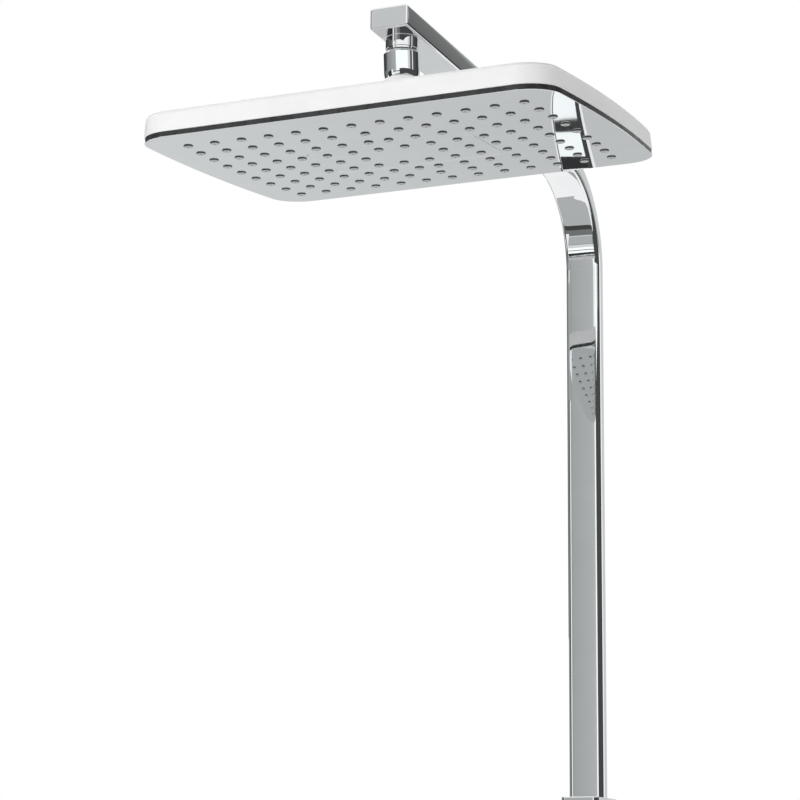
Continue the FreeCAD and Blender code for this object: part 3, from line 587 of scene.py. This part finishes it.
def make_shell():
    """Head's side wall, domed back and flare, with its inside."""
    rings = []
    for inset, z in rounded_corner(0.0, SHELL_BOTTOM, 1, 1, SIDE_EDGE):
        rings.append(at_height(bowed_outline(inset), z))
    rings.append(at_height(bowed_outline(SIDE_DRAFT), RIM_TOP))
    for rise, size in smooth_shares(DOME_STEPS)[1:]:
        rings.append(at_height(bowed_outline(SIDE_DRAFT, size), RIM_TOP + DOME_HEIGHT * rise))
    for radius, z in flare_points(FLARE_STEPS):
        rings.append(round_ring(radius, z))
    rings.append(round_ring(HUB_RADIUS, -NUT_DROP))
    rings.append(round_ring(HUB_RADIUS, DOME_TOP - SHELL_WALL))
    inner_shares = list(zip(DOME_RISE_SHARES, DOME_SIZE_SHARES))[DOME_INNER_FIRST:]
    for rise, size in reversed(inner_shares):
        z = RIM_TOP - SHELL_WALL + DOME_HEIGHT * rise
        rings.append(at_height(bowed_outline(LEDGE_WIDTH * size, size), z))
    rings.append(at_height(bowed_outline(LEDGE_WIDTH), LEDGE_Z))
    rings.append(at_height(bowed_outline(SHELL_WALL), LEDGE_Z))
    rings.append(at_height(bowed_outline(SHELL_WALL), SHELL_BOTTOM))
    verts, faces = join_rings(rings, loop=True)
    new_piece("shell", verts, faces, "plated_plastic", "head", "head_shell", HEAD_PLACE)


def make_trim():
    """Band between the side wall and the face, painted dark as the shade and dark reflection in the
    groove there.
    """
    bottom, top = FACE_Z + FACE_RIM, SHELL_BOTTOM
    rings = [at_height(bowed_outline(inset), z) for inset, z in (
        (BAND_INSET, bottom), (BAND_INSET, top), (SHELL_WALL, top), (SHELL_WALL, bottom))]
    verts, faces = join_rings(rings, loop=True)
    new_piece("edge_band", verts, faces, "dark_trim", "head", "edge_trim", HEAD_PLACE)


def inside(point, outline):
    """Whether a point lies in a closed outline."""
    x, y = point
    found = False
    for (ax, ay), (bx, by) in zip(outline, outline[1:] + outline[:1]):
        if (ay > y) != (by > y) and x < ax + (y - ay) * (bx - ax) / (by - ay):
            found = not found
    return found


def circle(x, y, radius):
    """Closed outline of a hole."""
    angles = [2 * math.pi * i / HOLE_STEPS for i in range(HOLE_STEPS)]
    return [(x + radius * math.cos(a), y + radius * math.sin(a)) for a in angles]


def grid_points(outline, window, holes):
    """Evenly spaced points of a sheet, clear of its edges and holes."""
    clear = HOLE_RADIUS + LIP_WIDTH + SHEET_MARGIN
    reach_x = max(x for x, y in outline)
    reach_y = max(y for x, y in outline)
    shrink_x = 1 - SHEET_MARGIN / reach_x
    shrink_y = 1 - SHEET_MARGIN / reach_y
    shrunk = [(x * shrink_x, y * shrink_y) for x, y in outline]
    columns = int(reach_x / SHEET_SPACING)
    rows = int(reach_y / SHEET_SPACING)
    points = []
    for i in range(-columns, columns + 1):
        for j in range(-rows, rows + 1):
            p = (i * SHEET_SPACING, j * SHEET_SPACING)
            if not inside(p, shrunk) or (window and inside(p, window)):
                continue
            if all(math.dist(p, h) > clear for h in holes):
                points.append(p)
    return points


def holed_sheet(outline, window, holes):
    """Triangles of a flat sheet with a window and round holes, and the loops of its edges."""
    lip_radius = HOLE_RADIUS + LIP_WIDTH
    kept_radius = HOLE_RADIUS + LIP_WIDTH * LIP_KEPT_SHARE
    loops = [outline] + ([window] if window else []) + [circle(x, y, lip_radius) for x, y in holes]
    points, edges, spans = [], [], []
    for loop in loops:
        start = len(points)
        points += loop
        edges += [(start + i, start + (i + 1) % len(loop)) for i in range(len(loop))]
        spans.append(range(start, start + len(loop)))
    points += grid_points(outline, window, holes)
    flat = [Vector(p) for p in points]
    cut = geometry.delaunay_2d_cdt(flat, edges, [], TRIANGLES_INSIDE, MERGE_DISTANCE)
    out, _, triangles, sources, _, _ = cut
    place = {s: i for i, group in enumerate(sources) for s in group}
    kept = []
    for face in triangles:
        middle = sum((out[i] for i in face), Vector((0, 0))) / len(face)
        m = (middle.x, middle.y)
        if not inside(m, outline) or (window and inside(m, window)):
            continue
        if all(math.dist(m, h) > kept_radius for h in holes):
            kept.append(tuple(face))
    return [(p.x, p.y) for p in out], kept, [[place[i] for i in span] for span in spans]


def add_lip(verts, faces, normals, hole, loop, count):
    """Draw in the edge of a hole and join it to the sheet's back."""
    x, y = hole
    start = len(verts)
    for i in loop:
        out = Vector((verts[i].x - x, verts[i].y - y, 0)).normalized()
        verts.append(Vector((x, y, verts[i].z + LIP_DEPTH)) + out * HOLE_RADIUS)
        normals.append((-out - Vector((0, 0, 1)) * LIP_NORMAL_DROP).normalized())
    for k, i in enumerate(loop):
        j = (k + 1) % len(loop)
        faces.append((i, loop[j], start + j, start + k))
        faces.append((start + k, start + j, count + loop[j], count + i))


def add_rounded_edge(verts, faces, normals, loop, outward, edge, count):
    """Round the edge of the sheet or of its window and join it to the sheet's back."""
    n = len(loop)
    low = loop
    for s in range(1, SHEET_EDGE_STEPS + 1):
        a = math.pi / 2 * s / SHEET_EDGE_STEPS
        start = len(verts)
        for k, i in enumerate(loop):
            along = (verts[loop[(k + 1) % n]] - verts[loop[k - 1]]).normalized()
            out = Vector((along.y, -along.x, 0)).normalized()
            if (out.dot(verts[i]) > 0) != outward:
                out = -out
            verts.append(verts[i] + out * edge * math.sin(a) + Vector((0, 0, edge * (1 - math.cos(a)))))
            normals.append((out * math.sin(a) + Vector((0, 0, -math.cos(a)))).normalized())
        high = list(range(start, start + n))
        faces += [(low[k], low[(k + 1) % n], high[(k + 1) % n], high[k]) for k in range(n)]
        low = high
    faces += [(low[k], low[(k + 1) % n], count + loop[(k + 1) % n], count + loop[k]) for k in range(n)]


def sheet_solid(outline, window, holes, edge):
    """Pillow-shaped sheet with lipped holes, with the normals of its polished form."""
    flat, triangles, loops = holed_sheet(outline, window, holes)
    verts = [Vector((x, y, face_height(x, y))) for x, y in flat]
    normals = [face_normal(x, y) for x, y in flat]
    count = len(flat)
    verts += [v + Vector((0, 0, FACE_THICKNESS)) for v in verts]
    normals += [-n for n in normals]
    faces = list(triangles) + [tuple(count + i for i in reversed(f)) for f in triangles]
    edge_loops = loops[:len(loops) - len(holes)]
    for hole, loop in zip(holes, loops[len(edge_loops):]):
        add_lip(verts, faces, normals, hole, loop, count)
    for number, loop in enumerate(edge_loops):
        add_rounded_edge(verts, faces, normals, loop, number == 0, edge, count)
    return verts, faces, normals


def make_face():
    """Mirror underside and the panel set into it."""
    places = nozzle_places()
    grow = FACE_EDGE
    window = rounded_rectangle(PANEL_WIDTH / 2 + grow, PANEL_DEPTH / 2 + grow, PANEL_CORNER + grow)
    shrink = PANEL_GROOVE + FACE_EDGE / 2
    panel = rounded_rectangle(PANEL_WIDTH / 2 - shrink, PANEL_DEPTH / 2 - shrink, PANEL_CORNER - shrink)
    inner = [p for p in places if inside(p, panel)]
    outer = [p for p in places if not inside(p, window)]
    verts, faces, normals = sheet_solid(bowed_outline(FACE_EDGE), window, outer, FACE_EDGE)
    new_piece("face", verts, faces, "chrome", "head", "face_plate", HEAD_PLACE, normals)
    verts, faces, normals = sheet_solid(panel, None, inner, FACE_EDGE / 2)
    new_piece("panel", verts, faces, "chrome", "head", "centre_panel", HEAD_PLACE, normals)


def mat_ring(share, rise):
    """Ring of the mat, at a share of its size and a height over the face's underside."""
    return [Vector((x, y, face_height(x, y) + rise)) for x, y in bowed_outline(MAT_INSET * share, share)]


def make_mat():
    """Silicone sheet with a tapered, dimpled nozzle at every place; the nozzles' walls are painted dark
    as shade and their down-facing tips pale as light.
    """
    rings = [mat_ring(share, FACE_THICKNESS + MAT_THICKNESS) for share in MAT_RING_SHARES]
    rings += [mat_ring(share, FACE_THICKNESS) for share in reversed(MAT_RING_SHARES)]
    verts, faces = join_rings(rings, cap_first=True, cap_last=True)
    tip = -NOZZLE_STAND_OUT
    root = FACE_THICKNESS + MAT_THICKNESS / 2
    profile = [(0.0, root), (NOZZLE_RADIUS, root), (NOZZLE_RADIUS, FACE_THICKNESS / 2)]
    profile += [(NOZZLE_SKIRT_RADIUS, 0.0), (NOZZLE_TIP_RADIUS, tip + NOZZLE_EDGE)]
    profile += [(NOZZLE_TIP_RADIUS - NOZZLE_EDGE, tip), (NOZZLE_OUTLET, tip)]
    profile += [(NOZZLE_OUTLET, 0.0), (0.0, 0.0)]
    nozzle, skin = turned(profile, NOZZLE_STEPS)
    for x, y in nozzle_places():
        start = len(verts)
        verts += [v + Vector((x, y, face_height(x, y))) for v in nozzle]
        faces += [tuple(start + i for i in face) for face in skin]
    piece = new_piece("nozzles", verts, faces, "silicone", "head", "nozzle_mat", HEAD_PLACE)
    # The down-facing tips get the paler material as painted light, and the walls keep the dark one as
    # painted shade.
    piece.data.materials.append(MATERIALS["silicone_tip_painted_light"])
    paint_lit_tips(piece)


def paint_lit_tips(piece):
    """Give the faces that look down from the nozzles the paler tip material, as painted light on one grey
    silicone.
    """
    down = HEAD_PLACE.to_3x3() @ Vector((0, 0, -1))
    low = HEAD_PLACE @ Vector((0, 0, FACE_Z + FACE_THICKNESS / 2))
    for face in piece.data.polygons:
        limit = low.z + (face.center.y - low.y) * math.tan(REST_TILT)
        if face.normal.dot(down) > LIT_TIP_FACING and face.center.z < limit:
            face.material_index = 1


make_tube()
make_cap()
make_stud()
make_nut()
make_shell()
make_trim()
make_face()
make_mat()

# Solids that keep their own shape
KEPT_LOOKS = {
    "bracket_body": "chrome", "wall_plate": "steel", "plate_lock_screw": "steel", "grub_screw": "steel",
    "tail_plug": "brass", "tail_o_rings": "black_rubber", "inlet_filter": "white_plastic",
    "inlet_seal": "black_rubber", "bottom_plug": "brass", "plug_washer": "black_rubber",
    "outlet_spigot": "brass", "spigot_washer": "black_rubber", "strainer": "steel",
    "upper_liner": "white_plastic", "lower_seal": "black_rubber", "hub_insert": "brass",
    "hub_gasket": "black_rubber", "flow_regulator": "grey_plastic", "regulator_o_ring": "black_rubber",
    "backing_plate": "white_plastic", "perimeter_gasket": "black_rubber", "backing_screws": "steel",
}
for node, look in KEPT_LOOKS.items():
    piece = frame["nodes"][node]
    piece.data.materials.clear()
    piece.data.materials.append(MATERIALS[look])


# Studio: pale floor, soft lamps, and cards that only the polished metal sees

FLOOR_DROP = 0.2
FLOOR_SIZE = 12.0
FLOOR_NOISE = 0.6
FLOOR_DARK = (0.9, 0.9, 0.9)
FLOOR_LIGHT = (0.94, 0.94, 0.94)
FLOOR_ROUGHNESS = 0.9
CARD_RADIUS = 8.0
CARD_CENTRE = Vector((0, -0.25, 0.4))
CARD_STEP = 5.0
CARD_SPACING = 0.03
CARD_TINT = (0.97, 1.0, 1.0)
TUBE_HALF_DEPTH = 8.5 * MM
DRUM_RADIUS = 1.2
DRUM_LOW = -0.2
WHITE = (1, 1, 1, 1)
WORLD_LIGHT = 0.6
WORLD_SEEN = 1.0
LAMP_SIZE = 2.0
LAMP_TARGET = Vector((0, -0.3, 0.4))


def make_floor():
    """Pale floor under the part."""
    mesh = bpy.data.meshes.new("floor")
    z = CAD_BOX[0][2] - FLOOR_DROP
    corners = [(sx * FLOOR_SIZE, sy * FLOOR_SIZE, z) for sx, sy in ((-1, -1), (1, -1), (1, 1), (-1, 1))]
    mesh.from_pydata(corners, [], [(0, 1, 2, 3)])
    floor = bpy.data.objects.new("floor", mesh)
    bpy.context.scene.collection.objects.link(floor)
    material, nodes, links, shader = plain_material("pale_floor")
    broad = noise(nodes, links, FLOOR_NOISE)
    links.new(tinted(nodes, links, broad, FLOOR_DARK, FLOOR_LIGHT), shader.inputs["Base Color"])
    shader.inputs["Roughness"].default_value = FLOOR_ROUGHNESS
    mesh.materials.append(material)
    floor.visible_glossy = False


def between(ends, share):
    """Value at a share of the way between two ends."""
    return ends[0] + (ends[1] - ends[0]) * share


def add_card(name, verts, faces, shades):
    """Stage card that only reflections see, with a tone at each point."""
    mesh = bpy.data.meshes.new(name)
    mesh.from_pydata(verts, [], faces)
    tone = mesh.attributes.new("tone", "FLOAT", "POINT")
    tone.data.foreach_set("value", shades)
    mesh.materials.append(CARD_PAPER)
    piece = bpy.data.objects.new(name, mesh)
    bpy.context.scene.collection.objects.link(piece)
    piece.visible_camera = False
    piece.visible_diffuse = False
    piece.visible_shadow = False
    piece.visible_transmission = False


def sphere_card(name, azimuths, elevations, tones, radius):
    """Patch of a large sphere round the part. Azimuth 0 is the front, 90 the right."""
    across = max(2, int((azimuths[1] - azimuths[0]) / CARD_STEP))
    up = max(2, int((elevations[1] - elevations[0]) / CARD_STEP))
    verts, faces, shades = [], [], []
    for j in range(up + 1):
        e = math.radians(between(elevations, j / up))
        for i in range(across + 1):
            a = math.radians(between(azimuths, i / across))
            way = Vector((math.sin(a) * math.cos(e), -math.cos(a) * math.cos(e), math.sin(e)))
            verts.append(tuple(CARD_CENTRE + radius * way))
            shades.append(between(tones, i / across))
    row = across + 1
    for j in range(up):
        for i in range(across):
            faces.append((j * row + i, j * row + i + 1, (j + 1) * row + i + 1, (j + 1) * row + i))
    add_card(name, verts, faces, shades)


def riser_card(name, azimuths, heights, shade):
    """Upright card in the room, part of a wide drum about the riser."""
    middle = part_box("riser_tube")[1].y - TUBE_HALF_DEPTH
    verts, faces = [], []
    steps = max(2, int((azimuths[1] - azimuths[0]) / CARD_STEP))
    for i in range(steps + 1):
        a = math.radians(between(azimuths, i / steps))
        x, y = DRUM_RADIUS * math.sin(a), middle - DRUM_RADIUS * math.cos(a)
        verts += [(x, y, DRUM_LOW), (x, y, between(heights, i / steps))]
    for i in range(steps):
        faces.append((2 * i, 2 * i + 1, 2 * i + 3, 2 * i + 2))
    add_card(name, verts, faces, [shade] * len(verts))


def card_paper():
    """Paper that glows with the tone written on each card."""
    material = bpy.data.materials.new("card_paper")
    material.use_nodes = True
    nodes = material.node_tree.nodes
    nodes.clear()
    tone = nodes.new("ShaderNodeAttribute")
    tone.attribute_name = "tone"
    glow = nodes.new("ShaderNodeEmission")
    glow.inputs["Color"].default_value = (*CARD_TINT, 1)
    output = nodes.new("ShaderNodeOutputMaterial")
    material.node_tree.links.new(tone.outputs["Fac"], glow.inputs["Strength"])
    material.node_tree.links.new(glow.outputs["Emission"], output.inputs["Surface"])
    return material


CARD_PAPER = card_paper()
# Name, azimuths, elevations, tones at the two azimuths. Later cards stand nearer.
SPHERE_CARDS = (
    ("card_low_grey", (-100, 20), (-72, -43), (0.48, 0.48)),
    ("card_low_black", (-60, 25), (-43, -37), (0.06, 0.06)),
    ("card_low_dark", (-60, 25), (-37, -17), (0.17, 0.2)),
    ("card_low_mid", (-27, -12), (-28, -17.6), (0.47, 0.47)),
    ("card_low_line", (-60, 25), (-29.4, -28), (0.65, 0.65)),
    ("card_low_left", (-160, -62), (-26, -13), (0.05, 0.05)),
    ("card_low_right", (25, 100), (-26, -13), (0.06, 0.06)),
    ("card_low_light", (-60, 25), (-17, -13), (0.75, 0.75)),
    ("card_low_white", (-60, 10), (-13, -5.9), (1.2, 1.2)),
    ("card_far_line", (-60, 10), (-9.9, -9.0), (0.05, 0.05)),
    ("card_near_line", (-60, 10), (-5.9, -2.0), (0.04, 0.04)),
    ("card_column", (-25, -14), (-1, 16.7), (0.36, 0.54)),
    ("card_left", (-112, -25), (-3, 16.2), (0.14, 0.45)),
    ("card_front_white", (-14, 60), (-1, 19), (1.15, 1.15)),
    ("card_left_high", (-112, -45), (16.2, 25), (0.05, 0.15)),
    ("card_left_black", (-161, -112), (5, 26), (0.03, 0.05)),
    ("card_arm_end", (-32, -17.5), (19.2, 25), (0.62, 0.62)),
    ("card_right_soft", (60, 76), (-3, 26), (0.85, 0.6)),
    ("card_right_line", (76, 91), (-3, 26), (0.12, 0.12)),
    ("card_right_black", (97, 150), (-13, 26), (0.1, 0.03)),
    ("card_right_low", (150, 156.5), (-13, 16.2), (0.05, 0.05)),
    ("card_right_dark", (150, 158.5), (16.2, 26), (0.08, 0.2)),
    ("card_right_turn", (158.5, 161), (16.2, 26), (0.2, 0.65)),
    ("card_back", (160.5, 205), (0, 26), (0.66, 0.72)),
    ("card_under_arm", (-190, -140), (-26, -16), (0.66, 0.66)),
    ("card_under_right", (-190, -163), (-16, 1), (0.56, 0.57)),
    ("card_under_left", (-163, -140), (-16, 1), (0.57, 0.74)),
)
# Name, azimuths, heights of the top at the two azimuths, tone
RISER_CARDS = (
    ("card_riser_right", (5, 100), (0.66, 0.8), 0.07),
    ("card_riser_left", (-57, -33), (0.66, 0.66), 0.04),
    ("card_riser_light", (-32, -24), (0.66, 0.66), 1.0),
)
# Name, place, power
LAMPS = (
    ("key", (-1.4, -3.0, 0.9), 34),
    ("fill", (2.5, -2.0, 1.5), 8),
)


def make_lamp(name, place, power):
    """Soft lamp aimed at the part."""
    data = bpy.data.lights.new(name, "AREA")
    data.energy = power
    data.size = LAMP_SIZE
    lamp = bpy.data.objects.new(name, data)
    bpy.context.scene.collection.objects.link(lamp)
    lamp.location = place
    lamp.rotation_euler = (LAMP_TARGET - Vector(place)).to_track_quat("-Z", "Y").to_euler()
    lamp.visible_glossy = False
    lamp.visible_camera = False


def make_world():
    """White for what the camera, metal and glass see, and softer for the light itself."""
    world = bpy.data.worlds.new("studio")
    bpy.context.scene.world = world
    world.use_nodes = True
    nodes, links = world.node_tree.nodes, world.node_tree.links
    nodes.clear()
    path = nodes.new("ShaderNodeLightPath")
    seen = nodes.new("ShaderNodeMath")
    seen.operation = "MAXIMUM"
    links.new(path.outputs["Is Camera Ray"], seen.inputs[0])
    links.new(path.outputs["Is Glossy Ray"], seen.inputs[1])
    clear = nodes.new("ShaderNodeMath")
    clear.operation = "MAXIMUM"
    links.new(seen.outputs[0], clear.inputs[0])
    links.new(path.outputs["Is Transmission Ray"], clear.inputs[1])
    ambient = nodes.new("ShaderNodeBackground")
    ambient.inputs["Color"].default_value = WHITE
    ambient.inputs["Strength"].default_value = WORLD_LIGHT
    white = nodes.new("ShaderNodeBackground")
    white.inputs["Color"].default_value = WHITE
    white.inputs["Strength"].default_value = WORLD_SEEN
    mix = nodes.new("ShaderNodeMixShader")
    links.new(clear.outputs[0], mix.inputs["Fac"])
    links.new(ambient.outputs[0], mix.inputs[1])
    links.new(white.outputs[0], mix.inputs[2])
    output = nodes.new("ShaderNodeOutputWorld")
    links.new(mix.outputs[0], output.inputs["Surface"])


def make_camera():
    """Camera at the photograph's place and angle."""
    right = Vector((math.cos(CAMERA_YAW), math.sin(CAMERA_YAW), 0))
    forward = Vector((-math.sin(CAMERA_YAW) * math.cos(CAMERA_PITCH),
                      math.cos(CAMERA_YAW) * math.cos(CAMERA_PITCH), math.sin(CAMERA_PITCH)))
    up = right.cross(forward)
    c, s = math.cos(CAMERA_ROLL), math.sin(CAMERA_ROLL)
    across = c * right + s * up
    above = c * up - s * right
    data = bpy.data.cameras.new("camera")
    data.lens = CAMERA_LENS
    data.sensor_width = CAMERA_SENSOR
    camera = bpy.data.objects.new("camera", data)
    bpy.context.scene.collection.objects.link(camera)
    turn = Matrix((across, above, -forward)).transposed().to_4x4()
    camera.matrix_world = Matrix.Translation(CAMERA_PLACE) @ turn
    bpy.context.scene.camera = camera


make_floor()
for number, entry in enumerate(SPHERE_CARDS):
    sphere_card(*entry, CARD_RADIUS - CARD_SPACING * number)
for entry in RISER_CARDS:
    riser_card(*entry)
for entry in LAMPS:
    make_lamp(*entry)
make_world()
make_camera()
bpy.context.scene.view_settings.view_transform = "Standard"
